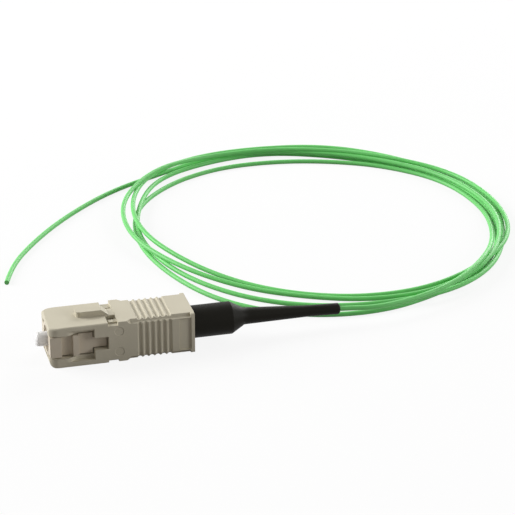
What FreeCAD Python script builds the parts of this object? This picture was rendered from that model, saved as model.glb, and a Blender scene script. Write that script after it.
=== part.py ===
import FreeCAD, Part
import math
import os
from types import SimpleNamespace

import Sketcher
from FreeCAD import Placement, Rotation, Vector

# A pigtail: one square push-pull fibre connector, its boot and a loose coil of buffered fibre.
# X runs back along the optical axis from the front plane of the coupling sleeve, Z points up
# through the key, and the table lies at the underside of the sleeve. All sizes are millimetres.
SIZES = {
    # fits
    "slide_gap": 0.05,
    "press_gap": 0.02,
    "stop_gap": 0.05,
    "window_gap": 0.2,
    # coupling sleeve, outside
    "sleeve_length": 25.1,
    "sleeve_width": 9.0,
    "sleeve_height": 7.4,
    "sleeve_travel": 1.6,
    "nose_length": 10.05,
    "nose_drop": 0.05,
    "nose_edge_radius": 0.35,
    "lead_in_length": 2.2,
    "lead_in_drop": 0.12,
    "corner_length": 1.6,
    "corner_depth": 0.9,
    "chin_radius": 0.9,
    "groove_width": 1.75,
    "groove_depth": 0.6,
    "underside_notch": 0.35,
    "shoulder_length": 1.5,
    "shoulder_slope": 0.6,
    "grip_step_width": 0.7,
    "grip_step_height": 0.65,
    "grip_step_lean": 0.15,
    "rim_length": 0.7,
    "rim_radius": 0.35,
    # coupling sleeve, key and vents
    "key_start": 5.2,
    "key_width": 2.2,
    "key_height": 1.0,
    "key_corner": 0.8,
    "key_flat": 4.4,
    "key_slope": 1.2,
    "bridge_width": 2.6,
    "vent_length": 1.2,
    "vent_width": 1.05,
    "ledge_width": 1.0,
    "ledge_height": 0.25,
    # coupling sleeve, side windows and release cams
    "window_length": 7.7,
    "window_height": 4.2,
    "slot_length": 2.4,
    "slot_height": 2.3,
    "cam_start": 2.75,
    "cam_run": 2.5,
    "cam_depth": 0.95,
    "cam_height": 0.75,
    # coupling sleeve, inside
    "guide_width": 4.4,
    "guide_height": 5.6,
    "room_start": 12.0,
    "room_length": 7.0,
    "room_width": 7.5,
    "room_height": 6.1,
    "rear_opening_width": 6.8,
    # coupling sleeve, grip and marks
    "rib_start": 15.55,
    "rib_pitch": 1.04,
    "rib_count": 6,
    "rib_radius": 0.42,
    "rib_depth": 0.3,
    "panel_start": 22.4,
    "panel_length": 2.1,
    "panel_height": 5.9,
    "panel_depth": 0.3,
    # plug frame
    "frame_setback": 0.1,
    "block_length": 1.95,
    "block_width": 8.4,
    "block_taper": 0.15,
    "recess_length": 1.97,
    "recess_width": 6.8,
    "rib_length": 1.05,
    "rib_width": 8.3,
    "plate_width": 7.0,
    "core_length": 7.9,
    "barrel_diameter": 5.5,
    "nose_bore": 4.6,
    "nose_bore_depth": 5.1,
    "wall_thickness": 1.0,
    "spring_bore": 4.7,
    # ferrule, its holder and the bare glass
    "ferrule_diameter": 2.5,
    "ferrule_length": 10.5,
    "ferrule_reach": 1.8,
    "ferrule_bevel": 0.3,
    "ferrule_seat_diameter": 2.1,
    "ferrule_seat_length": 3.6,
    "glass_diameter": 0.125,
    "glass_bore_gap": 0.0015,
    "funnel_length": 0.9,
    "glass_overrun": 0.3,
    "float_travel": 0.8,
    "holder_nose_diameter": 3.3,
    "holder_nose_length": 1.1,
    "holder_nose_gap": 0.1,
    "flange_diameter": 4.5,
    "flange_length": 2.0,
    "flange_slot_width": 0.8,
    "flange_slot_depth": 0.5,
    "holder_tail_diameter": 2.6,
    "holder_tail_length": 7.75,
    # spring
    "spring_diameter": 3.6,
    "spring_wire": 0.4,
    "spring_turns": 4.5,
    # stop ring
    "ring_seat_length": 4.4,
    "ring_flange_diameter": 5.5,
    "ring_flange_length": 0.8,
    "ring_barrel_diameter": 4.0,
    "ring_barrel_length": 10.0,
    "ring_bore": 2.9,
    "ring_bore_depth": 3.5,
    # boot
    "boot_diameter": 5.7,
    "boot_wide_length": 12.65,
    "boot_cone_length": 2.8,
    "boot_cone_end_diameter": 2.5,
    "boot_neck_place": 2.3,
    "boot_neck_diameter": 3.1,
    "boot_taper_length": 12.0,
    "boot_end_diameter": 2.0,
    "boot_tube_length": 17.5,
    "boot_droop": 2.13,
    "boot_end_bevel": 0.25,
    "boot_socket_room": 0.2,
    # buffered fibre
    "fibre_diameter": 0.9,
    "fibre_room": 0.12,
    "fibre_setback": 1.15,
    # coil: outer and inner ovals of the loose turns
    "coil_x": 60.8,
    "coil_y": 43.5,
    "coil_width": 73.0,
    "coil_depth": 85.0,
    "hole_shift_x": -0.6,
    "hole_shift_y": -0.5,
    "hole_width": 64.6,
    "hole_depth": 68.0,
    "coil_height": 1.8,
    "coil_chamfer": 0.5,
}

# Where the fibre goes into the coil, and from the coil to its cut end: from the coil's middle, and
# above the table.
LEAD_AFTER_BEND = 30.0
LEAD_END = (27.2, -26.5, 0.9)
TAIL_POINTS = [
    (-16.8, 34.1, 0.8),
    (-32.8, 30.0, 0.5),
    (-48.8, 14.5, 0.46),
    (-59.3, -1.5, 0.46),
    (-62.8, -12.5, 0.46),
]
ARC_SHARE = 0.45
WIRE_SIDES = 5
FIBRE_SIDES = 8
# The ends of a sketch's line or arc, and the middle of its circle.
BEGIN, END, MIDDLE = range(1, 4)

doc = FreeCAD.newDocument("fibre_pigtail")
sheet = doc.addObject("Spreadsheet::Sheet", "sizes")
for row, (alias, number) in enumerate(SIZES.items(), 1):
    sheet.set(f"A{row}", alias)
    sheet.set(f"B{row}", str(number))
    sheet.setAlias(f"B{row}", alias)
doc.recompute()


class Size:
    """A length with its number and the sheet expression that gives it."""

    def __init__(self, text, number):
        self.text = text
        self.number = number

    def __add__(self, other):
        return join(self, "+", other)

    def __sub__(self, other):
        return join(self, "-", other)

    def __mul__(self, other):
        return join(self, "*", other)

    def __truediv__(self, other):
        return join(self, "/", other)

    def __neg__(self):
        return Size(f"(-{self.text})", -self.number)


def as_size(value):
    return value if isinstance(value, Size) else Size(str(value), float(value))


def join(left, sign, right):
    right = as_size(right)
    number = {
        "+": left.number + right.number,
        "-": left.number - right.number,
        "*": left.number * right.number,
        "/": left.number / right.number if right.number else 0.0,
    }[sign]
    return Size(f"({left.text} {sign} {right.text})", number)


s = SimpleNamespace(**{alias: Size(f"sizes.{alias}", float(sheet.get(alias))) for alias in SIZES})

# Places along X, and heights, that more than one piece uses.
half_width = s.sleeve_width / 2
half_height = s.sleeve_height / 2
table = -half_height
nose_top = half_height - s.nose_drop
groove_floor = nose_top - s.groove_depth
shoulder_start = s.nose_length + s.groove_width
grip_start = shoulder_start + s.shoulder_length
rim_start = s.sleeve_length - s.rim_length
room_end = s.room_start + s.room_length
frame_end = room_end - s.stop_gap
wall_start = s.frame_setback + s.nose_bore_depth
wall_end = wall_start + s.wall_thickness
ferrule_end = s.ferrule_length - s.ferrule_reach
flange_start = wall_end + s.stop_gap
flange_end = flange_start + s.flange_length
holder_end = flange_end + s.holder_tail_length
ring_start = frame_end - s.ring_seat_length
ring_flange_end = frame_end + s.ring_flange_length
ring_end = ring_flange_end + s.ring_barrel_length
boot_start = ring_flange_end + s.stop_gap
boot_wide_end = boot_start + s.boot_wide_length
boot_neck = boot_wide_end + s.boot_neck_place
fibre_bore = s.fibre_diameter / 2 + s.fibre_room


def origin_feature(body, role):
    return next(feature for feature in body.Origin.OriginFeatures if feature.Role == role)


def new_body(label):
    body = doc.addObject("PartDesign::Body", label)
    body.Label = label
    return body


def new_sketch(body, role, name, offset=None):
    """A sketch on one of the body's origin planes, or moved off it along the plane's normal."""
    sketch = body.newObject("Sketcher::SketchObject", name)
    sketch.AttachmentSupport = [(origin_feature(body, role), "")]
    sketch.MapMode = "FlatFace"
    if offset is not None:
        sketch.AttachmentOffset = Placement(Vector(0, 0, offset.number), Rotation())
        sketch.setExpression("AttachmentOffset.Base.z", offset.text)
    return sketch


def constrain(sketch, kind, size, *references):
    index = sketch.addConstraint(Sketcher.Constraint(kind, *references, size.number))
    sketch.setExpression(f"Constraints[{index}]", size.text)


def fix_point(sketch, geometry, end, x, y):
    """Tie a vertex to the sketch's origin by its two distances."""
    for kind, size, axis in (("DistanceX", x, -2), ("DistanceY", y, -1)):
        size = as_size(size)
        if size.number == 0:
            sketch.addConstraint(Sketcher.Constraint("PointOnObject", geometry, end, axis))
        else:
            constrain(sketch, kind, size, -1, BEGIN, geometry, end)


def flat(x, y):
    return Vector(as_size(x).number, as_size(y).number, 0)


def outline(sketch, points):
    """A closed outline of straight edges."""
    following = points[1:] + points[:1]
    edges = [Part.LineSegment(flat(*a), flat(*b)) for a, b in zip(points, following)]
    ids = list(sketch.addGeometry(edges))
    for this, after, point in zip(ids, ids[1:] + ids[:1], points):
        sketch.addConstraint(Sketcher.Constraint("Coincident", this, END, after, BEGIN))
        fix_point(sketch, this, BEGIN, *point)


def rectangle(sketch, left, right, low, high):
    outline(sketch, [(left, low), (right, low), (right, high), (left, high)])


def circle(sketch, x, y, radius):
    radius = as_size(radius)
    index = sketch.addGeometry(Part.Circle(flat(x, y), Vector(0, 0, 1), radius.number))
    constrain(sketch, "Radius", radius, index)
    fix_point(sketch, index, MIDDLE, x, y)


def extrude(body, kind, sketch, length=None, both=False, reverse=False):
    """A pad, or a pocket. With no length a pocket goes through everything both ways."""
    feature = body.newObject(f"PartDesign::{kind}", f"{sketch.Name}_{kind.lower()}")
    feature.Profile = sketch
    feature.SideType = "Symmetric" if both else "One side"
    feature.Reversed = reverse
    if length is None:
        feature.Type = "ThroughAll"
    else:
        feature.setExpression("Length", length.text)
    return feature


def pad(body, sketch, length, both=False, reverse=False):
    feature = extrude(body, "Pad", sketch, length, both, reverse)
    doc.recompute()
    return feature


def pocket(body, sketch, length=None, both=False, reverse=False):
    before = body.Shape.Volume
    feature = extrude(body, "Pocket", sketch, length, both, reverse)
    doc.recompute()
    must_shrink(body, before, feature.Name)
    return feature


def must_shrink(body, before, name):
    if not body.Shape.Volume < before:
        raise ValueError(f"{name} cuts nothing")


def revolve(body, kind, sketch):
    """A solid or a cut turned about the sketch's horizontal axis."""
    before = body.Shape.Volume if kind == "Groove" else math.inf
    feature = body.newObject(f"PartDesign::{kind}", f"{sketch.Name}_{kind.lower()}")
    feature.Profile = sketch
    feature.ReferenceAxis = (sketch, ["H_Axis"])
    feature.Angle = 360
    doc.recompute()
    must_shrink(body, before, feature.Name)


def mirrored(body, features, role, name):
    before = body.Shape.Volume
    feature = body.newObject("PartDesign::Mirrored", name)
    feature.Originals = features
    feature.MirrorPlane = (origin_feature(body, role), [""])
    body.Tip = feature
    doc.recompute()
    must_shrink(body, before, name)


def edges_where(shape, test):
    return [f"Edge{i}" for i, edge in enumerate(shape.Edges, 1) if test(edge)]


def round_edges(body, name, radius, test):
    base = body.Tip
    feature = body.newObject("PartDesign::Fillet", name)
    feature.Base = (base, edges_where(base.Shape, test))
    feature.setExpression("Radius", radius.text)
    doc.recompute()


def close(a, b):
    return abs(a - b) < 1e-6


def lies_at(edge, x=None, y=None, z=None):
    """Whether the whole edge lies at these coordinates."""
    box = edge.BoundBox
    wanted = ((x, box.XMin, box.XMax), (y, box.YMin, box.YMax), (z, box.ZMin, box.ZMax))
    return all(at is None or close(low, at) and close(high, at) for at, low, high in wanted)


def arc_ends(sketch, arc, start):
    """The arc's end at this place, then its other end."""
    return (BEGIN, END) if close((sketch.getPoint(arc, BEGIN) - start).Length, 0) else (END, BEGIN)


# Coupling sleeve: the outer shell that slides on the plug frame.
def front_corner(body, side):
    """Round one front corner in plan with an arc that runs out into the side wall."""
    sketch = new_sketch(body, "XY_Plane", f"corner_{'far' if side > 0 else 'near'}")
    run, depth = s.corner_length, s.corner_depth
    radius = (run * run + depth * depth) / (depth * 2)
    centre = Vector(run.number, side * (half_width - radius).number, 0)
    angle = math.atan2(run.number, (radius - depth).number) / 2
    swing = Vector(-math.sin(angle), side * math.cos(angle), 0) * radius.number
    wall = half_width * side
    inner = (half_width - depth) * side
    start, end = Vector(run.number, wall.number, 0), Vector(0, inner.number, 0)
    arc = sketch.addGeometry(Part.Arc(start, centre + swing, end))
    front = sketch.addGeometry(Part.LineSegment(end, Vector(0, wall.number, 0)))
    out = sketch.addGeometry(Part.LineSegment(Vector(0, wall.number, 0), start))
    at_wall, at_front = arc_ends(sketch, arc, start)
    sketch.addConstraint(Sketcher.Constraint("Coincident", arc, at_front, front, BEGIN))
    sketch.addConstraint(Sketcher.Constraint("Coincident", front, END, out, BEGIN))
    sketch.addConstraint(Sketcher.Constraint("Coincident", out, END, arc, at_wall))
    fix_point(sketch, front, BEGIN, 0, inner)
    fix_point(sketch, front, END, 0, wall)
    fix_point(sketch, out, END, run, wall)
    constrain(sketch, "Radius", radius, arc)
    pocket(body, sketch, both=True)


def release_cam(body, side):
    """Hollow one side wall behind an S-shaped ramp, between the thin lips of the top and bottom plates."""
    sketch = new_sketch(body, "XY_Plane", f"cam_{'far' if side > 0 else 'near'}")
    run, depth = s.cam_run, s.cam_depth
    radius = (run * run + depth * depth) / (depth * 4)
    wall, floor = half_width * side, (half_width - depth) * side
    top = (s.cam_start, wall)
    middle = (s.cam_start + run / 2, (half_width - depth / 2) * side)
    foot = (s.cam_start + run, floor)
    angle = math.atan2((run / 2).number, (radius - depth / 2).number) / 2
    swing = Vector(math.sin(angle), side * math.cos(angle), 0) * radius.number
    upper = flat(s.cam_start, (half_width - radius) * side) + swing
    lower = flat(foot[0], (half_width - depth + radius) * side) - swing
    first = sketch.addGeometry(Part.Arc(flat(*top), upper, flat(*middle)))
    second = sketch.addGeometry(Part.Arc(flat(*middle), lower, flat(*foot)))
    corners = [foot, (s.window_length, floor), (s.window_length, wall), top]
    lines = [
        sketch.addGeometry(Part.LineSegment(flat(*a), flat(*b))) for a, b in zip(corners, corners[1:])
    ]
    along_floor, along_end, along_wall = lines
    at_top, first_middle = arc_ends(sketch, first, flat(*top))
    second_middle, at_foot = arc_ends(sketch, second, flat(*middle))
    sketch.addConstraint(Sketcher.Constraint("Coincident", first, first_middle, second, second_middle))
    sketch.addConstraint(Sketcher.Constraint("Coincident", second, at_foot, along_floor, BEGIN))
    sketch.addConstraint(Sketcher.Constraint("Coincident", along_floor, END, along_end, BEGIN))
    sketch.addConstraint(Sketcher.Constraint("Coincident", along_end, END, along_wall, BEGIN))
    sketch.addConstraint(Sketcher.Constraint("Coincident", along_wall, END, first, at_top))
    for line, corner in zip(lines, corners):
        fix_point(sketch, line, BEGIN, *corner)
    fix_point(sketch, along_wall, END, *top)
    fix_point(sketch, second, second_middle, *middle)
    constrain(sketch, "Radius", radius, first)
    constrain(sketch, "Radius", radius, second)
    pocket(body, sketch, s.window_height + s.cam_height * 2, both=True)


def grip_corner(body, side, level):
    """Step one long edge of the grip down, from a slope at the shoulder to the rim at its back end."""
    name = f"{'far' if side > 0 else 'near'}_{'top' if level > 0 else 'bottom'}"

    def step(offset, width, height, lean, part):
        sketch = new_sketch(body, "YZ_Plane", f"grip_{part}_{name}", offset)
        inner = [(0, 0), (width, 0), (width - lean, height - lean), (0, height)]
        outline(sketch, [
            ((half_width - across) * side, (half_height - down) * level) for across, down in inner
        ])
        return sketch

    full = (s.grip_step_width, s.grip_step_height, s.grip_step_lean)
    least = (s.stop_gap, s.stop_gap, s.stop_gap * s.grip_step_lean / s.grip_step_width)
    slope_end = grip_start + s.shoulder_slope
    pocket(body, step(rim_start, *full, "end"), rim_start - slope_end)
    before = body.Shape.Volume
    loft = body.newObject("PartDesign::SubtractiveLoft", f"grip_slope_{name}")
    loft.Profile = step(slope_end, *full, "foot")
    loft.Sections = [step(grip_start, *least, "tip")]
    loft.Ruled = True
    doc.recompute()
    must_shrink(body, before, loft.Name)


def on_nose_top(edge):
    """Whether an edge goes round the nose's top, at its front, its corners or its sides."""
    box = edge.BoundBox
    low, high = (nose_top - s.lead_in_drop).number, nose_top.number
    level = box.ZMin > low - s.stop_gap.number and box.ZMax < high + s.stop_gap.number
    crosses = close(box.XLength, 0) and box.XMin > s.stop_gap.number
    return level and box.XMax < s.nose_length.number + s.stop_gap.number and not crosses


def make_sleeve():
    body = new_body("coupling_sleeve")
    length = s.sleeve_length
    belly = table + s.underside_notch

    side = new_sketch(body, "XZ_Plane", "sleeve_side")
    outline(side, [
        (0, nose_top - s.lead_in_drop), (s.lead_in_length, nose_top), (s.nose_length, nose_top),
        (s.nose_length, groove_floor), (shoulder_start, groove_floor), (shoulder_start, half_height),
        (length, half_height), (length, table), (shoulder_start, table), (shoulder_start, belly),
        (s.nose_length, belly), (s.nose_length, table), (0, table),
    ])
    pad(body, side, s.sleeve_width, both=True)
    round_edges(body, "chin", s.chin_radius, lambda edge: lies_at(edge, x=0, z=table.number))
    for side_sign in (1, -1):
        front_corner(body, side_sign)
    round_edges(body, "nose_edges", s.nose_edge_radius, on_nose_top)
    for side_sign in (1, -1):
        for level in (1, -1):
            grip_corner(body, side_sign, level)
    round_edges(body, "rim_corners", s.rim_radius, lambda edge: (
        close(edge.BoundBox.XMin, rim_start.number) and close(edge.BoundBox.XLength, s.rim_length.number)
        and close(abs(edge.BoundBox.Center.y), half_width.number)
        and close(abs(edge.BoundBox.Center.z), half_height.number)
    ))

    guide = new_sketch(body, "YZ_Plane", "guide")
    rectangle(guide, -s.guide_width / 2, s.guide_width / 2, -s.guide_height / 2, s.guide_height / 2)
    pocket(body, guide, s.room_start, reverse=True)
    bore = new_sketch(body, "YZ_Plane", "barrel_bore")
    circle(bore, 0, 0, s.barrel_diameter / 2 + s.window_gap)
    pocket(body, bore, s.room_start, reverse=True)
    room = new_sketch(body, "YZ_Plane", "room", s.room_start)
    rectangle(room, -s.room_width / 2, s.room_width / 2, -s.room_height / 2, s.room_height / 2)
    pocket(body, room, s.room_length, reverse=True)
    rear = new_sketch(body, "YZ_Plane", "rear_opening", length)
    opening = s.rear_opening_width / 2
    rectangle(rear, -opening, opening, -s.room_height / 2, s.room_height / 2)
    pocket(body, rear, length - room_end)

    window = new_sketch(body, "XZ_Plane", "window")
    tall, low = s.window_height / 2, s.slot_height / 2
    slot_end = s.window_length + s.slot_length
    outline(window, [
        (0, -tall), (s.window_length, -tall), (s.window_length, -low), (slot_end, -low),
        (slot_end, low), (s.window_length, low), (s.window_length, tall), (0, tall),
    ])
    pocket(body, window, both=True)
    for side_sign in (1, -1):
        release_cam(body, side_sign)

    vent_start = s.nose_length + (s.groove_width - s.vent_length) / 2
    vents = new_sketch(body, "XY_Plane", "vents")
    inner = s.bridge_width / 2
    for side_sign in (1, -1):
        near, far = inner * side_sign, (inner + s.vent_width) * side_sign
        rectangle(vents, vent_start, vent_start + s.vent_length, near, far)
    pocket(body, vents, both=True)
    ledges = new_sketch(body, "XY_Plane", "ledges", groove_floor)
    for side_sign in (1, -1):
        near = (inner + s.vent_width) * side_sign
        far = (inner + s.vent_width + s.ledge_width) * side_sign
        rectangle(ledges, vent_start, shoulder_start, near, far)
    pad(body, ledges, s.ledge_height)

    bridge = new_sketch(body, "XZ_Plane", "bridge")
    rectangle(bridge, s.nose_length, shoulder_start, groove_floor, nose_top)
    pad(body, bridge, s.bridge_width, both=True)
    key = new_sketch(body, "XZ_Plane", "key")
    key_top = nose_top + s.key_height
    key_end = s.key_start + s.key_flat
    outline(key, [
        (s.key_start, nose_top), (s.nose_length, nose_top), (s.nose_length, groove_floor),
        (key_end + s.key_slope, groove_floor), (key_end + s.key_slope, nose_top),
        (key_end, key_top), (s.key_start, key_top),
    ])
    pad(body, key, s.key_width, both=True)
    round_edges(body, "key_front", s.key_corner, lambda edge: (
        close(edge.BoundBox.XMin, s.key_start.number) and close(edge.BoundBox.XLength, 0)
        and close(edge.BoundBox.ZLength, s.key_height.number)
    ))

    rib_z = half_height + s.rib_radius - s.rib_depth
    rib_y = half_width + s.rib_radius - s.rib_depth
    over = new_sketch(body, "XZ_Plane", "grip_over")
    across = new_sketch(body, "XY_Plane", "grip_across")
    for sign in (1, -1):
        circle(over, s.rib_start, rib_z * sign, s.rib_radius)
        circle(across, s.rib_start, rib_y * sign, s.rib_radius)
    grooves = [pocket(body, over, both=True), pocket(body, across, both=True)]
    before = body.Shape.Volume
    row = body.newObject("PartDesign::LinearPattern", "grip_row")
    row.Originals = grooves
    row.Direction = (origin_feature(body, "X_Axis"), [""])
    row.Mode = "Spacing"
    row.setExpression("Offset", s.rib_pitch.text)
    row.setExpression("Occurrences", s.rib_count.text)
    body.Tip = row
    doc.recompute()
    must_shrink(body, before, row.Name)

    panel = new_sketch(body, "XZ_Plane", "panel", half_width)
    rectangle(panel, s.panel_start, s.panel_start + s.panel_length, -s.panel_height / 2, s.panel_height / 2)
    mirrored(body, [pocket(body, panel, s.panel_depth)], "XZ_Plane", "far_panel")
    return body


# Plug frame: the inner housing, with the shoulders that the adapter's hooks catch on.
def make_frame():
    body = new_body("plug_frame")
    front = s.frame_setback
    block_end = front + s.block_length
    rib_front = block_end + s.recess_length
    rib_back = rib_front + s.rib_length
    plan_end = s.window_length - s.window_gap
    height = s.window_height - s.window_gap * 2

    half_plan = [
        (front, s.block_width / 2 - s.block_taper / 2), (front + s.block_taper, s.block_width / 2),
        (block_end, s.block_width / 2), (block_end, s.recess_width / 2), (rib_front, s.recess_width / 2),
        (rib_front, s.rib_width / 2), (rib_back, s.rib_width / 2), (rib_back, s.plate_width / 2),
        (plan_end, s.plate_width / 2),
    ]
    plan = new_sketch(body, "XY_Plane", "frame_plan")
    outline(plan, half_plan + [(x, -y) for x, y in reversed(half_plan)])
    pad(body, plan, height, both=True)
    tongue = new_sketch(body, "XY_Plane", "tongue")
    rectangle(tongue, rib_back, plan_end + s.slot_length, -s.plate_width / 2, s.plate_width / 2)
    pad(body, tongue, s.slot_height - s.window_gap * 2, both=True)

    core = new_sketch(body, "YZ_Plane", "core", front)
    wide, tall = s.guide_width / 2 - s.slide_gap, s.guide_height / 2 - s.slide_gap
    rectangle(core, -wide, wide, -tall, tall)
    pad(body, core, s.core_length)
    barrel = new_sketch(body, "YZ_Plane", "barrel", wall_start)
    circle(barrel, 0, 0, s.barrel_diameter / 2)
    pad(body, barrel, frame_end - wall_start)
    collar_start = s.room_start + s.sleeve_travel + s.stop_gap * 2
    collar = new_sketch(body, "YZ_Plane", "collar", collar_start)
    wide, tall = s.room_width / 2 - s.slide_gap, s.room_height / 2 - s.slide_gap
    rectangle(collar, -wide, wide, -tall, tall)
    pad(body, collar, frame_end - collar_start)

    inside = new_sketch(body, "XZ_Plane", "frame_bores")
    hole = s.holder_nose_diameter / 2 + s.holder_nose_gap
    outline(inside, [
        (front, 0), (front, s.nose_bore / 2), (wall_start, s.nose_bore / 2), (wall_start, hole),
        (wall_end, hole), (wall_end, s.spring_bore / 2), (frame_end, s.spring_bore / 2), (frame_end, 0),
    ])
    revolve(body, "Groove", inside)
    return body


# Ferrule: a ceramic pin with a bevelled tip, a thinner end for its holder and a funnel for the glass.
def make_ferrule():
    body = new_body("ferrule")
    tip, back = -s.ferrule_reach, ferrule_end
    seat_start = back - s.ferrule_seat_length
    radius, seat = s.ferrule_diameter / 2, s.ferrule_seat_diameter / 2
    bore = s.glass_diameter / 2 + s.glass_bore_gap
    bevel = s.ferrule_bevel
    profile = new_sketch(body, "XZ_Plane", "ferrule_profile")
    outline(profile, [
        (tip, bore), (tip, radius - bevel), (tip + bevel, radius), (seat_start, radius),
        (seat_start, seat), (back, seat), (back, fibre_bore), (back - s.funnel_length, bore),
    ])
    revolve(body, "Revolution", profile)
    return body


# Bare fibre: the stripped glass, flush with the ferrule's tip.
def make_glass():
    glass = doc.addObject("Part::Cylinder", "bare_fibre")
    glass.Label = "bare_fibre"
    glass.setExpression("Radius", (s.glass_diameter / 2).text)
    glass.setExpression("Height", (s.ferrule_length + s.glass_overrun).text)
    glass.Placement = Placement(Vector(-s.ferrule_reach.number, 0, 0), Rotation(Vector(0, 1, 0), 90))
    glass.setExpression("Placement.Base.x", (-s.ferrule_reach).text)
    return glass


# Ferrule holder: a turned metal flange that the ferrule is pressed into, keyed by slots.
def make_holder():
    body = new_body("ferrule_holder")
    seat = s.ferrule_seat_diameter / 2 + s.press_gap
    nose = s.holder_nose_diameter / 2
    flange = s.flange_diameter / 2
    tail = s.holder_tail_diameter / 2
    nose_start = flange_start - s.holder_nose_length
    seat_end = ferrule_end + s.press_gap
    profile = new_sketch(body, "XZ_Plane", "holder_profile")
    outline(profile, [
        (nose_start, seat), (nose_start, nose), (flange_start, nose), (flange_start, flange),
        (flange_end, flange), (flange_end, tail), (holder_end, tail), (holder_end, fibre_bore),
        (seat_end, fibre_bore), (seat_end, seat),
    ])
    revolve(body, "Revolution", profile)

    slot = new_sketch(body, "YZ_Plane", "flange_slot", flange_start)
    half = s.flange_slot_width / 2
    rectangle(slot, -half, half, flange - s.flange_slot_depth, flange + s.flange_slot_depth)
    cut = pocket(body, slot, s.flange_length, reverse=True)
    before = body.Shape.Volume
    ring = body.newObject("PartDesign::PolarPattern", "flange_slots")
    ring.Originals = [cut]
    ring.Axis = (origin_feature(body, "X_Axis"), [""])
    ring.Angle = 360
    ring.Occurrences = 4
    body.Tip = ring
    doc.recompute()
    must_shrink(body, before, ring.Name)
    return body


def many_sided(centre, along, radius, sides):
    """A regular outline across a path, for a swept piece that needs few faces."""
    turn = Rotation(Vector(0, 0, 1), along)
    spokes = [Rotation(Vector(0, 0, 1), 360 * i / sides).multVec(Vector(radius, 0, 0)) for i in range(sides)]
    corners = [centre + turn.multVec(spoke) for spoke in spokes]
    return Part.makePolygon(corners + corners[:1])


# Ferrule spring: wire wound about the holder's tail, from its flange to the stop ring.
def make_spring():
    """The wire runs in half circles that lean from side to side, and each turn moves on by one pitch."""
    wire, radius = s.spring_wire.number / 2, s.spring_diameter.number / 2
    first = flange_end.number + wire + s.press_gap.number
    last = ring_start.number - wire - s.press_gap.number
    half_turns = round(2 * s.spring_turns.number)
    step = (last - first) / half_turns
    arcs = []
    for i in range(half_turns):
        side = -1 if i % 2 else 1
        begin = Vector(first + i * step, 0, side * radius)
        end = Vector(first + (i + 1) * step, 0, -side * radius)
        bow = Vector(0, side * (end - begin).Length / 2, 0)
        arcs.append(Part.Arc(begin, (begin + end) / 2 + bow, end).toShape())
    section = many_sided(Vector(first, 0, radius), Vector(0, 1, 0), wire, WIRE_SIDES)
    spring = doc.addObject("Part::Feature", "ferrule_spring")
    spring.Label = "ferrule_spring"
    spring.Shape = Part.Wire(arcs).makePipeShell([section], True, False)
    return spring


# Stop ring: closes the back of the plug frame, carries the spring and the boot.
def make_stop_ring():
    body = new_body("stop_ring")
    seat = s.spring_bore / 2 - s.press_gap
    flange = s.ring_flange_diameter / 2
    barrel = s.ring_barrel_diameter / 2
    bore_end = ring_start + s.ring_bore_depth
    profile = new_sketch(body, "XZ_Plane", "ring_profile")
    outline(profile, [
        (ring_start, s.ring_bore / 2), (ring_start, seat), (frame_end, seat), (frame_end, flange),
        (ring_flange_end, flange), (ring_flange_end, barrel), (ring_end, barrel), (ring_end, fibre_bore),
        (bore_end, fibre_bore), (bore_end, s.ring_bore / 2),
    ])
    revolve(body, "Revolution", profile)
    return body


# Strain relief boot: a straight socket, a cone, and a tapered tube that droops a little.
def drooping_sketch(body, name):
    """A sketch whose origin is at the boot's neck and whose horizontal axis runs down the tube."""
    sketch = new_sketch(body, "XZ_Plane", name)
    droop = Rotation(Vector(0, 0, -1), s.boot_droop.number)
    sketch.AttachmentOffset = Placement(Vector(boot_neck.number, 0, 0), droop)
    sketch.setExpression("AttachmentOffset.Base.x", boot_neck.text)
    sketch.setExpression("AttachmentOffset.Rotation.Angle", f"{s.boot_droop.text} * 1 deg")
    return sketch


def make_boot():
    body = new_body("strain_relief_boot")
    wide, neck = s.boot_diameter / 2, s.boot_neck_diameter / 2
    tip, bevel = s.boot_end_diameter / 2, s.boot_end_bevel
    length, cone_end = s.boot_tube_length, boot_wide_end + s.boot_cone_length
    profile = new_sketch(body, "XZ_Plane", "boot_profile")
    outline(profile, [
        (boot_start, 0), (boot_start, wide), (boot_wide_end, wide),
        (cone_end, s.boot_cone_end_diameter / 2), (cone_end, 0),
    ])
    revolve(body, "Revolution", profile)
    tube = drooping_sketch(body, "boot_tube")
    outline(tube, [
        (-s.boot_neck_place / 2, 0), (-s.boot_neck_place / 2, neck), (s.boot_taper_length, tip),
        (length - bevel, tip), (length, tip - bevel), (length, 0),
    ])
    revolve(body, "Revolution", tube)

    socket = new_sketch(body, "XZ_Plane", "boot_socket")
    barrel = s.ring_barrel_diameter / 2 + s.press_gap
    throat = fibre_bore + s.fibre_room
    socket_end = ring_end + s.boot_socket_room
    outline(socket, [
        (boot_start, 0), (boot_start, barrel), (socket_end, barrel), (socket_end, throat),
        (boot_neck, throat), (boot_neck, 0),
    ])
    revolve(body, "Groove", socket)
    bore = drooping_sketch(body, "boot_bore")
    rectangle(bore, -s.boot_socket_room, length, 0, fibre_bore)
    revolve(body, "Groove", bore)
    return body


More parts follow.
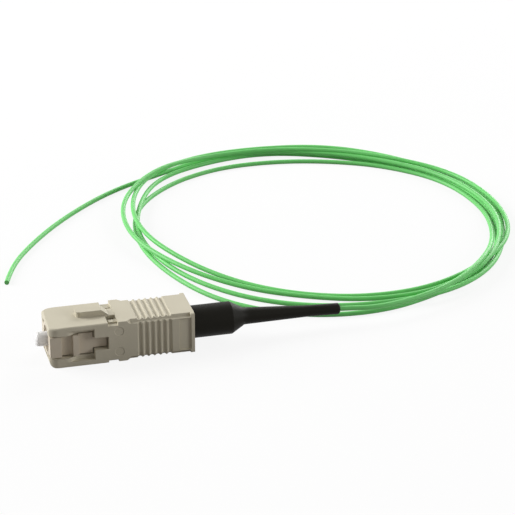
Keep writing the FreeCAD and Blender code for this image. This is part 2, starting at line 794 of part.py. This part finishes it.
# Fibre: a tube from the holder through the boot, the coil's outer shape, and a tube to the cut end.
def route_tube(label, points, diameter):
    """A tube along straight runs joined by tangent arcs that are as large as the runs allow."""
    edges = []
    start = points[0]
    for before, corner, after in zip(points, points[1:], points[2:]):
        inward, onward = before - corner, after - corner
        run = min(inward.Length, onward.Length)
        turn = math.pi - inward.getAngle(onward)
        inward.normalize()
        onward.normalize()
        reach = ARC_SHARE * run
        radius = reach / math.tan(turn / 2)
        print(f"{label}: arc radius {radius:.1f} mm, {radius / diameter:.1f} diameters")
        bisector = inward + onward
        bisector.normalize()
        depth = radius / math.cos(turn / 2) - radius
        into, out = corner + inward * reach, corner + onward * reach
        edges.append(Part.LineSegment(start, into).toShape())
        edges.append(Part.Arc(into, corner + bisector * depth, out).toShape())
        start = out
    edges.append(Part.LineSegment(start, points[-1]).toShape())
    path = Part.Wire(edges)
    section = many_sided(points[0], points[1] - points[0], diameter / 2, FIBRE_SIDES)
    tube = path.makePipeShell([section], True, False)
    expected = Part.Face(section).Area * path.Length
    if abs(tube.Volume / expected - 1) > 0.001:
        raise ValueError(f"{label} has volume {tube.Volume:.2f}, not {expected:.2f}")
    print(f"{label}: {path.Length:.1f} mm long")
    node = doc.addObject("Part::Feature", label)
    node.Label = label
    node.Shape = tube
    return node


def by_coil(points):
    middle = Vector(s.coil_x.number, s.coil_y.number, table.number)
    return [middle + Vector(*point) for point in points]


def make_lead():
    """The lead turns at the boot's neck, as the boot does, and goes on into the coil."""
    droop = math.radians(s.boot_droop.number)
    start = Vector((ferrule_end + s.float_travel + s.fibre_setback).number, 0, 0)
    neck = Vector(boot_neck.number, 0, 0)
    after = neck + Vector(math.cos(droop), 0, -math.sin(droop)) * LEAD_AFTER_BEND
    return route_tube("fibre_lead", [start, neck, after] + by_coil([LEAD_END]), s.fibre_diameter.number)


def make_tail():
    return route_tube("fibre_tail", by_coil(TAIL_POINTS), s.fibre_diameter.number)


def oval(sketch, x, y, width, depth):
    """An ellipse that is longest along Y."""
    across, along = width / 2, depth / 2
    shape = Part.Ellipse(flat(x, y + along), flat(x + across, y), flat(x, y))
    index = sketch.addGeometry(shape)
    sketch.exposeInternalGeometry(index)
    fix_point(sketch, index, MIDDLE, x, y)
    long_axis, short_axis = index + 1, index + 2
    sketch.addConstraint(Sketcher.Constraint("Vertical", long_axis))
    constrain(sketch, "Distance", depth, long_axis)
    constrain(sketch, "Distance", width, short_axis)


def make_coil():
    body = new_body("fibre_coil")
    turns = new_sketch(body, "XY_Plane", "coil_plan", table)
    oval(turns, s.coil_x, s.coil_y, s.coil_width, s.coil_depth)
    oval(turns, s.coil_x + s.hole_shift_x, s.coil_y + s.hole_shift_y, s.hole_width, s.hole_depth)
    pad(body, turns, s.coil_height)
    base = body.Tip
    chamfer = body.newObject("PartDesign::Chamfer", "coil_edges")
    top = (table + s.coil_height).number
    chamfer.Base = (base, edges_where(base.Shape, lambda edge: lies_at(edge, z=top)))
    chamfer.setExpression("Size", s.coil_chamfer.text)
    doc.recompute()
    return body


pieces = [
    make_sleeve(), make_frame(), make_ferrule(), make_glass(), make_holder(), make_spring(),
    make_stop_ring(), make_boot(), make_lead(), make_coil(), make_tail(),
]
doc.recompute()

for item in doc.Objects:
    if "Invalid" in item.State or "Error" in item.State:
        raise ValueError(f"{item.Name} failed: {item.State}")
for piece in pieces:
    if piece.Shape.isNull() or not piece.Shape.isValid():
        raise ValueError(f"{piece.Label} has no valid shape")

os.makedirs("parts", exist_ok=True)
for piece in pieces:
    piece.Shape.exportStep(f"parts/{piece.Label}.step")
    solids = len(piece.Shape.Solids)
    print(f"{piece.Label}: {solids} solid, {piece.Shape.Volume:.2f} mm3")
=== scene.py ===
import math

import bmesh
import bpy
from mathutils import Matrix, Vector


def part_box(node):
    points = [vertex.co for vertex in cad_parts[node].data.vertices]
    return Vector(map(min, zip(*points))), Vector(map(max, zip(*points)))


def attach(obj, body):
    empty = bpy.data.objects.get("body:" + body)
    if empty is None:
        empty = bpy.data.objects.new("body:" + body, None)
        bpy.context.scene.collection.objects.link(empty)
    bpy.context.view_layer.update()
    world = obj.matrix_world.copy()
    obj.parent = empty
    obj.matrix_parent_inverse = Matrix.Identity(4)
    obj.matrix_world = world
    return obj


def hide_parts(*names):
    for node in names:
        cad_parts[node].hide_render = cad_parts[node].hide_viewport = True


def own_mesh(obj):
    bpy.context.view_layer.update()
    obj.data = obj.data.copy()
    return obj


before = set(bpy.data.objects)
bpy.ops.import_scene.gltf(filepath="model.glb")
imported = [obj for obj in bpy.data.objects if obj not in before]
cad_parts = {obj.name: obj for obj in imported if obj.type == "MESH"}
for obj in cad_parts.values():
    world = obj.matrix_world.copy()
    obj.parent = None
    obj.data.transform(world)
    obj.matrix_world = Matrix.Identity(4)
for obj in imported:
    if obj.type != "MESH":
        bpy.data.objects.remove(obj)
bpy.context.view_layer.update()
mm = 0.001
um = 0.001 * mm
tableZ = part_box("coupling_sleeve")[0][2]  # the connector lies on its underside
print("model loaded,", len(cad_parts), "nodes")


def placed(name, data):
    made = bpy.data.objects.new(name, data)
    bpy.context.collection.objects.link(made)
    return made


def plainMesh(piece):
    # what a piece and its modifiers make
    graph = bpy.context.evaluated_depsgraph_get()
    return bpy.data.meshes.new_from_object(piece.evaluated_get(graph))


# camera at the photograph's angle
cameraSetup = {
    "place": (-49.4, -329.3, 162.1),  # mm
    "lookDown": 23.95,  # degrees
    "lookRight": 14.76,
    "lens": 151.06,  # mm, for the sensor's width
    "sensor": 36,
}
cameraData = bpy.data.cameras.new("camera")
cameraData.sensor_width = cameraSetup["sensor"]
cameraData.lens = cameraSetup["lens"]
camera = placed("camera", cameraData)
camera.location = Vector(cameraSetup["place"]) * mm
camera.rotation_euler = (
    math.radians(90 - cameraSetup["lookDown"]), 0, -math.radians(cameraSetup["lookRight"])
)
bpy.context.scene.camera = camera
bpy.context.scene.view_settings.view_transform = "Standard"
print("camera set")


# studio: a white table, large soft lamps at the back left and the back right,
# and a weak one at the front right
studio = {
    "ambient": 0.18,
    "roomTint": (1.0, 0.965, 0.95),
    "floorTone": 0.34,  # what the table throws back
    "floorWhite": 0.92,  # the table as the camera sees it, which takes the shadow
    "floorGlow": 0.88,  # how much of the white that the camera sees is plain white
    "floorSize": 3.0,  # m
    "key": {"place": (-0.6, 0.38, 0.34), "size": 0.55, "power": 8.6},  # m and W
    "back": {"place": (0.55, 0.54, 0.32), "size": 0.55, "power": 3.8},
    "front": {"place": (0.6, -0.28, 0.24), "size": 0.3, "power": 1.8},
    "aim": (0.03, 0.02, 0.0),
}


def feed(tree, socket, value):
    # a plain number, or what another node puts out
    if isinstance(value, (int, float)):
        socket.default_value = value
    else:
        tree.links.new(value, socket)


def mathNode(tree, operation, first, second):
    node = tree.nodes.new("ShaderNodeMath")
    node.operation = operation
    feed(tree, node.inputs[0], first)
    feed(tree, node.inputs[1], second)
    return node.outputs[0]


def seenDirectly(tree):
    # 1 for rays from the camera, for reflections and through glass
    path = tree.nodes.new("ShaderNodeLightPath")
    either = mathNode(tree, "MAXIMUM", path.outputs["Is Camera Ray"], path.outputs["Is Glossy Ray"])
    return mathNode(tree, "MAXIMUM", either, path.outputs["Is Transmission Ray"])


def coloured(tree, kind, colour):
    node = tree.nodes.new(kind)
    node.inputs["Color"].default_value = (*colour, 1)
    return node


def mixed(tree, share, first, second):
    node = tree.nodes.new("ShaderNodeMixShader")
    feed(tree, node.inputs["Fac"], share)
    tree.links.new(first, node.inputs[1])
    tree.links.new(second, node.inputs[2])
    return node.outputs[0]


world = bpy.data.worlds.new("studio")
bpy.context.scene.world = world
world.use_nodes = True
tree = world.node_tree
tree.nodes.clear()
roomLight = coloured(tree, "ShaderNodeBackground", studio["roomTint"])
roomLight.inputs["Strength"].default_value = studio["ambient"]
whiteWall = coloured(tree, "ShaderNodeBackground", (1, 1, 1))
room = mixed(tree, seenDirectly(tree), roomLight.outputs[0], whiteWall.outputs[0])
roomOut = tree.nodes.new("ShaderNodeOutputWorld")
tree.links.new(room, roomOut.inputs["Surface"])

for name in ("key", "back", "front"):
    lamp = bpy.data.lights.new(name + "Lamp", "AREA")
    lamp.size = studio[name]["size"]
    lamp.energy = studio[name]["power"]
    lampObject = placed(name + "Lamp", lamp)
    lampObject.location = studio[name]["place"]
    aim = Vector(studio["aim"]) - lampObject.location
    lampObject.rotation_euler = aim.to_track_quat("-Z", "Y").to_euler()

floorMaterial = bpy.data.materials.new("whiteTable")
floorMaterial.use_nodes = True
tree = floorMaterial.node_tree
tree.nodes.clear()
floorColour = [studio["floorTone"] * tint for tint in studio["roomTint"]]
thrownBack = coloured(tree, "ShaderNodeBsdfDiffuse", floorColour)
tableTop = coloured(tree, "ShaderNodeBsdfDiffuse", [studio["floorWhite"]] * 3)
glow = tree.nodes.new("ShaderNodeEmission")
shownTable = mixed(tree, studio["floorGlow"], tableTop.outputs[0], glow.outputs[0])
tableMix = mixed(tree, seenDirectly(tree), thrownBack.outputs[0], shownTable)
tableOut = tree.nodes.new("ShaderNodeOutputMaterial")
tree.links.new(tableMix, tableOut.inputs["Surface"])

half = studio["floorSize"] / 2
corners = [(x * half, y * half, tableZ) for x, y in ((-1, -1), (1, -1), (1, 1), (-1, 1))]
floorMesh = bpy.data.meshes.new("table")
floorMesh.from_pydata(corners, [], [(0, 1, 2, 3)])
floorMesh.materials.append(floorMaterial)
table = placed("table", floorMesh)
print("studio set")


# shared effects, as node groups: each gives a tone, a roughness and a relief
def effectGroup(name, numbers):
    group = bpy.data.node_groups.new(name, "ShaderNodeTree")
    sockets = group.interface
    sockets.new_socket("Place", in_out="INPUT", socket_type="NodeSocketVector")
    for label, value in numbers.items():
        socket = sockets.new_socket(label, in_out="INPUT", socket_type="NodeSocketFloat")
        socket.default_value = value
    for label in ("Tone", "Roughness", "Relief"):
        sockets.new_socket(label, in_out="OUTPUT", socket_type="NodeSocketFloat")
    return group, group.nodes.new("NodeGroupInput"), group.nodes.new("NodeGroupOutput")


def noiseNode(tree, place, scale, detail=2.0):
    node = tree.nodes.new("ShaderNodeTexNoise")
    node.inputs["Detail"].default_value = detail
    tree.links.new(place, node.inputs["Vector"])
    feed(tree, node.inputs["Scale"], scale)
    return node.outputs["Fac"]


def closeGroup(group, given, out, tone, relief, swing, middle):
    # the roughness swings by its spread as a noise leaves its middle
    swing = mathNode(group, "SUBTRACT", swing, middle)
    swing = mathNode(group, "MULTIPLY", swing, given.outputs["Spread"])
    rough = mathNode(group, "ADD", given.outputs["Roughness"], swing)
    for label, value in (("Tone", tone), ("Roughness", rough), ("Relief", relief)):
        group.links.new(value, out.inputs[label])


# mould grain: soft clouds of tone, a fine grain, and a roughness that follows both
mouldGrain, given, out = effectGroup("mouldGrain", {
    "Cloud Scale": 300.0, "Grain Scale": 9000.0, "Roughness": 0.45, "Spread": 0.12,
})
clouds = noiseNode(mouldGrain, given.outputs["Place"], given.outputs["Cloud Scale"], detail=3.0)
grain = noiseNode(mouldGrain, given.outputs["Place"], given.outputs["Grain Scale"])
both = mathNode(mouldGrain, "ADD", clouds, grain)
closeGroup(mouldGrain, given, out, tone=clouds, relief=grain, swing=both, middle=1.0)

# turning lines: rings round the X axis, as a lathe or a grinding wheel leaves them
turningLines, given, out = effectGroup("turningLines", {
    "Pitch": 0.12 * mm, "Smear Scale": 900.0, "Roughness": 0.25, "Spread": 0.1,
})
along = turningLines.nodes.new("ShaderNodeSeparateXYZ")
turningLines.links.new(given.outputs["Place"], along.inputs[0])
step = mathNode(turningLines, "DIVIDE", along.outputs["X"], given.outputs["Pitch"])
onlyX = turningLines.nodes.new("ShaderNodeCombineXYZ")
turningLines.links.new(step, onlyX.inputs["X"])
lines = noiseNode(turningLines, onlyX.outputs[0], 1.0)  # one step is one pitch
smear = noiseNode(turningLines, given.outputs["Place"], given.outputs["Smear Scale"])
closeGroup(turningLines, given, out, tone=smear, relief=lines, swing=lines, middle=0.5)


def linear(colour):
    # colours are written as they look on the screen, on the sRGB curve
    return tuple(c / 12.92 if c <= 0.04045 else ((c + 0.055) / 1.055) ** 2.4 for c in colour) + (1,)


edgeSamples = 8  # how often each point looks for an edge beside it


def finish(name, group, values, pale, dark, relief, edge=0.0, shader=None):
    # one Principled material: a shared effect gives tone, roughness and relief,
    # and sharp edges look rounded by the edge radius
    material = bpy.data.materials.new(name)
    material.use_nodes = True
    tree = material.node_tree
    principled = tree.nodes["Principled BSDF"]
    coords = tree.nodes.new("ShaderNodeTexCoord")
    effect = tree.nodes.new("ShaderNodeGroup")
    effect.node_tree = group
    tree.links.new(coords.outputs["Object"], effect.inputs["Place"])
    for socket, value in values.items():
        effect.inputs[socket].default_value = value
    tone = tree.nodes.new("ShaderNodeMix")
    tone.data_type = "RGBA"
    tone.inputs["A"].default_value = linear(dark)
    tone.inputs["B"].default_value = linear(pale)
    tree.links.new(effect.outputs["Tone"], tone.inputs["Factor"])
    tree.links.new(tone.outputs["Result"], principled.inputs["Base Color"])
    tree.links.new(effect.outputs["Roughness"], principled.inputs["Roughness"])
    bump = tree.nodes.new("ShaderNodeBump")
    bump.inputs["Distance"].default_value = relief
    tree.links.new(effect.outputs["Relief"], bump.inputs["Height"])
    tree.links.new(bump.outputs["Normal"], principled.inputs["Normal"])
    if edge:
        rounded = tree.nodes.new("ShaderNodeBevel")
        rounded.samples = edgeSamples
        rounded.inputs["Radius"].default_value = edge
        tree.links.new(rounded.outputs["Normal"], bump.inputs["Normal"])
    for socket, value in (shader or {}).items():
        principled.inputs[socket].default_value = value
    return material


sleeveBeige = finish(
    "sleeveBeige", mouldGrain,
    {"Cloud Scale": 260.0, "Grain Scale": 9000.0, "Roughness": 0.5, "Spread": 0.14},
    pale=(0.812, 0.788, 0.712), dark=(0.78, 0.754, 0.673), relief=6 * um, edge=0.1 * mm,
    shader={"Specular IOR Level": 0.15},
)
frameBeige = finish(
    "frameBeige", mouldGrain,
    {"Cloud Scale": 340.0, "Grain Scale": 14000.0, "Roughness": 0.4, "Spread": 0.08},
    pale=(0.845, 0.806, 0.732), dark=(0.81, 0.768, 0.692), relief=3 * um, edge=0.07 * mm,
    shader={"Specular IOR Level": 0.15},
)
bootBlack = finish(
    "bootBlack", mouldGrain,
    {"Cloud Scale": 220.0, "Grain Scale": 6000.0, "Roughness": 0.5, "Spread": 0.16},
    pale=(0.1, 0.094, 0.07), dark=(0.075, 0.07, 0.05), relief=6 * um, edge=0.08 * mm,
    shader={"Specular IOR Level": 0.1},
)
bufferGreen = finish(
    "bufferGreen", mouldGrain,
    {"Cloud Scale": 180.0, "Grain Scale": 2500.0, "Roughness": 0.4, "Spread": 0.06},
    pale=(0.48, 0.85, 0.48), dark=(0.435, 0.8, 0.435), relief=0.3 * um,
    shader={"Specular IOR Level": 0.25},
)
ceramicWhite = finish(
    "ceramicWhite", turningLines,
    {"Pitch": 0.06 * mm, "Roughness": 0.14, "Spread": 0.06},
    pale=(0.985, 0.98, 0.975), dark=(0.965, 0.955, 0.95), relief=0.6 * um,
    shader={
        "Subsurface Weight": 0.85, "Subsurface Scale": 1.4 * mm,
        "Subsurface Radius": (1.0, 1.0, 1.0),  # the same for each colour, so no fringes
    },
)
nickel = finish(
    "nickel", turningLines,
    {"Pitch": 0.11 * mm, "Roughness": 0.26, "Spread": 0.14},
    pale=(0.86, 0.85, 0.82), dark=(0.8, 0.79, 0.76), relief=3 * um,
    shader={"Metallic": 1.0},
)
springWire = finish(
    "springWire", mouldGrain,
    {"Cloud Scale": 700.0, "Grain Scale": 16000.0, "Roughness": 0.3, "Spread": 0.1},
    pale=(0.78, 0.78, 0.79), dark=(0.7, 0.7, 0.71), relief=3 * um,
    shader={"Metallic": 1.0},
)
clearGlass = finish(
    "clearGlass", mouldGrain,
    {"Cloud Scale": 2000.0, "Grain Scale": 30000.0, "Roughness": 0.04, "Spread": 0.03},
    pale=(0.95, 0.97, 0.98), dark=(0.92, 0.95, 0.96), relief=0.2 * um,
    shader={"Transmission Weight": 1.0, "IOR": 1.46},
)
print("materials made")


# ejector marks: shallow round dents in the sleeve's sides, two on each
ejectorMarks = {
    "x": 11.95 * mm, "z": 1.9 * mm,  # back from the front, and up and down from the axis
    "radius": 0.8 * mm, "depth": 0.06 * mm, "sides": 40,
}


def dented(piece, marks):
    outside = max(vertex.co.y for vertex in piece.data.vertices)
    acrossY = Matrix.Rotation(math.radians(90), 4, "X")
    pins = bmesh.new()
    for side in (-outside, outside):
        for level in (-marks["z"], marks["z"]):
            pin = bmesh.ops.create_cone(
                pins, cap_ends=True, segments=marks["sides"],
                radius1=marks["radius"], radius2=marks["radius"], depth=2 * marks["depth"],
            )
            place = Matrix.Translation((marks["x"], side, level)) @ acrossY
            bmesh.ops.transform(pins, matrix=place, verts=pin["verts"])
    pinMesh = bpy.data.meshes.new("ejectorPins")
    pins.to_mesh(pinMesh)
    pins.free()
    pinObject = placed("ejectorPins", pinMesh)
    cut = piece.modifiers.new("dents", "BOOLEAN")
    cut.operation = "DIFFERENCE"
    cut.solver = "EXACT"
    cut.object = pinObject
    made = plainMesh(piece)
    piece.modifiers.remove(cut)
    bpy.data.objects.remove(pinObject)
    piece.data = made


# copies of the moulded and turned solids, shaded smooth between their edges
shading = {
    "merge": 1 * um,  # the solids come as loose triangles
    "sharp": 28,  # degrees, past which an edge stays sharp
}


def softened(node, name, body, material, marks=None):
    shape = bmesh.new()
    shape.from_mesh(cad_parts[node].data)
    bmesh.ops.remove_doubles(shape, verts=shape.verts, dist=shading["merge"])
    mesh = bpy.data.meshes.new(name)
    shape.to_mesh(mesh)
    shape.free()
    mesh.attributes.remove(mesh.attributes["custom_normal"])  # of the loose triangles
    mesh.materials.append(material)
    piece = placed(name, mesh)
    if marks:
        dented(piece, marks)
    piece.data.shade_smooth()
    piece.data.set_sharp_from_angle(angle=math.radians(shading["sharp"]))
    evenShade = piece.modifiers.new("evenShade", "WEIGHTED_NORMAL")
    evenShade.keep_sharp = True  # and flats stay flat beside a rounding
    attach(piece, body)
    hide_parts(node)


softened(
    "coupling_sleeve", "sleeveShell", "sleeve", sleeveBeige, marks=ejectorMarks
)
softened("plug_frame", "frameBody", "plug", frameBeige)
softened("strain_relief_boot", "bootSkin", "plug", bootBlack)
softened("ferrule", "ferrulePin", "ferrule", ceramicWhite)
softened("ferrule_holder", "holderTurned", "ferrule", nickel)
softened("stop_ring", "ringTurned", "plug", nickel)
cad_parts["bare_fibre"].data.materials.clear()
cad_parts["bare_fibre"].data.materials.append(clearGlass)
print("moulded and turned pieces shaded")


# spring: a round wire, wound evenly along the optical axis
springSizes = {
    "start": 8.47 * mm, "end": 14.33 * mm, "radius": 1.8 * mm, "wire": 0.2 * mm, "turns": 4.5,
    "stepsATurn": 40, "wireSides": 12,
    "closed": 14.55 * mm,  # the end that stays on the stop ring
    "squeezed": 0.872,  # of its length, with the ferrule pushed back
}
springTree = bpy.data.node_groups.new("springCoil", "GeometryNodeTree")
for name in ("Radius", "Wire", "Length", "Turns"):
    springTree.interface.new_socket(name, in_out="INPUT", socket_type="NodeSocketFloat")
springTree.interface.new_socket("Mesh", in_out="OUTPUT", socket_type="NodeSocketGeometry")
springIn = springTree.nodes.new("NodeGroupInput")
springOut = springTree.nodes.new("NodeGroupOutput")
spiral = springTree.nodes.new("GeometryNodeCurveSpiral")
spiral.inputs["Resolution"].default_value = springSizes["stepsATurn"]
wire = springTree.nodes.new("GeometryNodeCurvePrimitiveCircle")
wire.inputs["Resolution"].default_value = springSizes["wireSides"]
sweep = springTree.nodes.new("GeometryNodeCurveToMesh")
sweep.inputs["Fill Caps"].default_value = True
lay = springTree.nodes.new("GeometryNodeTransform")
lay.inputs["Rotation"].default_value = (0, math.radians(90), 0)  # from Z onto the optical axis
lay.inputs["Translation"].default_value = (springSizes["start"], 0, 0)
smooth = springTree.nodes.new("GeometryNodeSetShadeSmooth")
realize = springTree.nodes.new("GeometryNodeRealizeInstances")
coat = springTree.nodes.new("GeometryNodeSetMaterial")
coat.inputs["Material"].default_value = springWire
join = springTree.links.new
join(springIn.outputs["Turns"], spiral.inputs["Rotations"])
join(springIn.outputs["Radius"], spiral.inputs["Start Radius"])
join(springIn.outputs["Radius"], spiral.inputs["End Radius"])
join(springIn.outputs["Length"], spiral.inputs["Height"])
join(springIn.outputs["Wire"], wire.inputs["Radius"])
join(spiral.outputs["Curve"], sweep.inputs["Curve"])
join(wire.outputs["Curve"], sweep.inputs["Profile Curve"])
join(sweep.outputs["Mesh"], lay.inputs["Geometry"])
join(lay.outputs["Geometry"], smooth.inputs["Geometry"])
join(smooth.outputs["Geometry"], realize.inputs["Geometry"])
join(realize.outputs["Geometry"], coat.inputs["Geometry"])
join(coat.outputs["Geometry"], springOut.inputs["Mesh"])


def grown(name, tree, values):
    # run a tree on an empty mesh, and keep what it makes as a plain mesh
    holder = placed(name, bpy.data.meshes.new(name + "Seed"))
    modifier = holder.modifiers.new(name, "NODES")
    modifier.node_group = tree
    for item in tree.interface.items_tree:
        if item.in_out == "INPUT" and item.name in values:
            modifier[item.identifier] = values[item.name]
    made = plainMesh(holder)
    holder.modifiers.remove(modifier)
    holder.data = made
    return holder


spring = grown("springCoil", springTree, {
    "Radius": springSizes["radius"], "Wire": springSizes["wire"],
    "Length": springSizes["end"] - springSizes["start"], "Turns": springSizes["turns"],
})
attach(spring, "plug")
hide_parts("ferrule_spring")
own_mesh(spring)
print("spring wound")


# buffered fibre: out of the boot, four and a half loose turns, and off to its cut end
fibre = {
    "radius": 0.45 * mm,
    "roundness": 10,  # a tube of 24 sides
    "stepsAPoint": 10,
    "centre": (60.8, 43.5),  # of the base oval, mm
    "half": (36.0, 42.0),
    "swell": 1.0196,  # a spline of 16 points a turn runs this much inside its points
    "firstAngle": 270, "angleStep": 22.5,  # degrees, from the near side
    # x, y and height over the table, mm
    "exit": (52.24, 0.0, 3.05),
    "lead": [(22.5, 0, 3.7), (34.75, 0, 3.7), (46, 0, 3.27), (52.3, 0, 3.05)],
    # percent of the base oval at each angle, one list for each turn
    "reach": [
        [103.5, 98.6, 94.7, 91.9, 93.5, 92.7, 85.6, 79.9,
         79.9, 84.7, 90.8, 97.5, 98.2, 98.4, 101.9, 100.5],
        [97.1, 92.5, 94.4, 95.0, 96.7, 95.8, 89.2, 87.7,
         92.3, 94.4, 98.3, 95.5, 97.5, 95.0, 92.4, 90.8],
        [91.5, 98.1, 97.8, 97.6, 102.7, 101.8, 99.8, 100.8,
         99.6, 103.5, 103.6, 100.1, 95.1, 84.3, 79.7, 79.4],
        [81.7, 86.9, 92.9, 101.4, 102.2, 101.2, 90.0, 86.2,
         89.1, 95.2, 99.7, 105.4, 102.0, 93.1, 84.8, 81.1],
        [86.1, 93.0, 96.3, 96.1, 96.9, 93.5, 87.4, 85.6, 89.9, 97.0],
    ],
    # height over the table at the same places, mm: at 0.45 it lies on the table
    "height": [
        [2.7, 2.7, 3.05, 1.4, 0.45, 0.45, 0.45, 0.45,
         0.45, 0.45, 0.45, 0.45, 0.45, 0.45, 0.45, 0.45],
        [0.45, 0.45, 0.45, 0.45, 0.45, 0.45, 0.45, 0.45,
         0.45, 0.45, 0.9, 1.45, 1.3, 0.7, 0.45, 0.45],
        [0.85, 1.55, 0.9, 0.45, 0.45, 0.45, 0.45, 0.45,
         0.45, 0.6, 1.6, 2.15, 2.15, 1.0, 0.45, 0.45],
        [0.45, 0.75, 1.3, 1.5, 1.35, 1.35, 1.95, 2.05,
         1.8, 1.65, 3.1, 2.15, 1.9, 1.7, 0.75, 0.45],
        [0.65, 1.2, 2.2, 2.2, 1.5, 1.55, 1.45, 1.35, 1.3, 0.85],
    ],
    "tail": [
        (35.4, 76, 0.45), (27.8, 71.8, 0.45), (20.5, 66, 0.45), (12, 57, 0.45),
        (5, 47.3, 0.45), (0, 38.3, 0.45), (-2, 31.4, 0.45),
    ],
}


def onTable(x, y, height):
    return Vector((x * mm, y * mm, tableZ + height * mm))


route = [onTable(*point) for point in fibre["lead"]]
for turn, heights in zip(fibre["reach"], fibre["height"]):
    for i, (percent, height) in enumerate(zip(turn, heights)):
        angle = math.radians(fibre["firstAngle"] + fibre["angleStep"] * i)
        share = percent / 100 * fibre["swell"]
        route.append(onTable(
            fibre["centre"][0] + fibre["half"][0] * share * math.cos(angle),
            fibre["centre"][1] + fibre["half"][1] * share * math.sin(angle),
            height,
        ))
route += [onTable(*point) for point in fibre["tail"]]

fibreCurve = bpy.data.curves.new("bufferedFibre", "CURVE")
fibreCurve.dimensions = "3D"
fibreCurve.bevel_depth = fibre["radius"]
fibreCurve.bevel_resolution = fibre["roundness"]
fibreCurve.resolution_u = fibre["stepsAPoint"]
fibreCurve.use_fill_caps = True
spline = fibreCurve.splines.new("NURBS")
spline.points.add(len(route) - 1)
for point, place in zip(spline.points, route):
    point.co = (*place, 1)
spline.order_u = 3
spline.use_endpoint_u = True
fibreCurve.materials.append(bufferGreen)
bufferedFibre = placed("bufferedFibre", fibreCurve)
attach(bufferedFibre, "plug")
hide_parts("fibre_lead", "fibre_coil", "fibre_tail")
print("fibre laid,", len(route), "points")
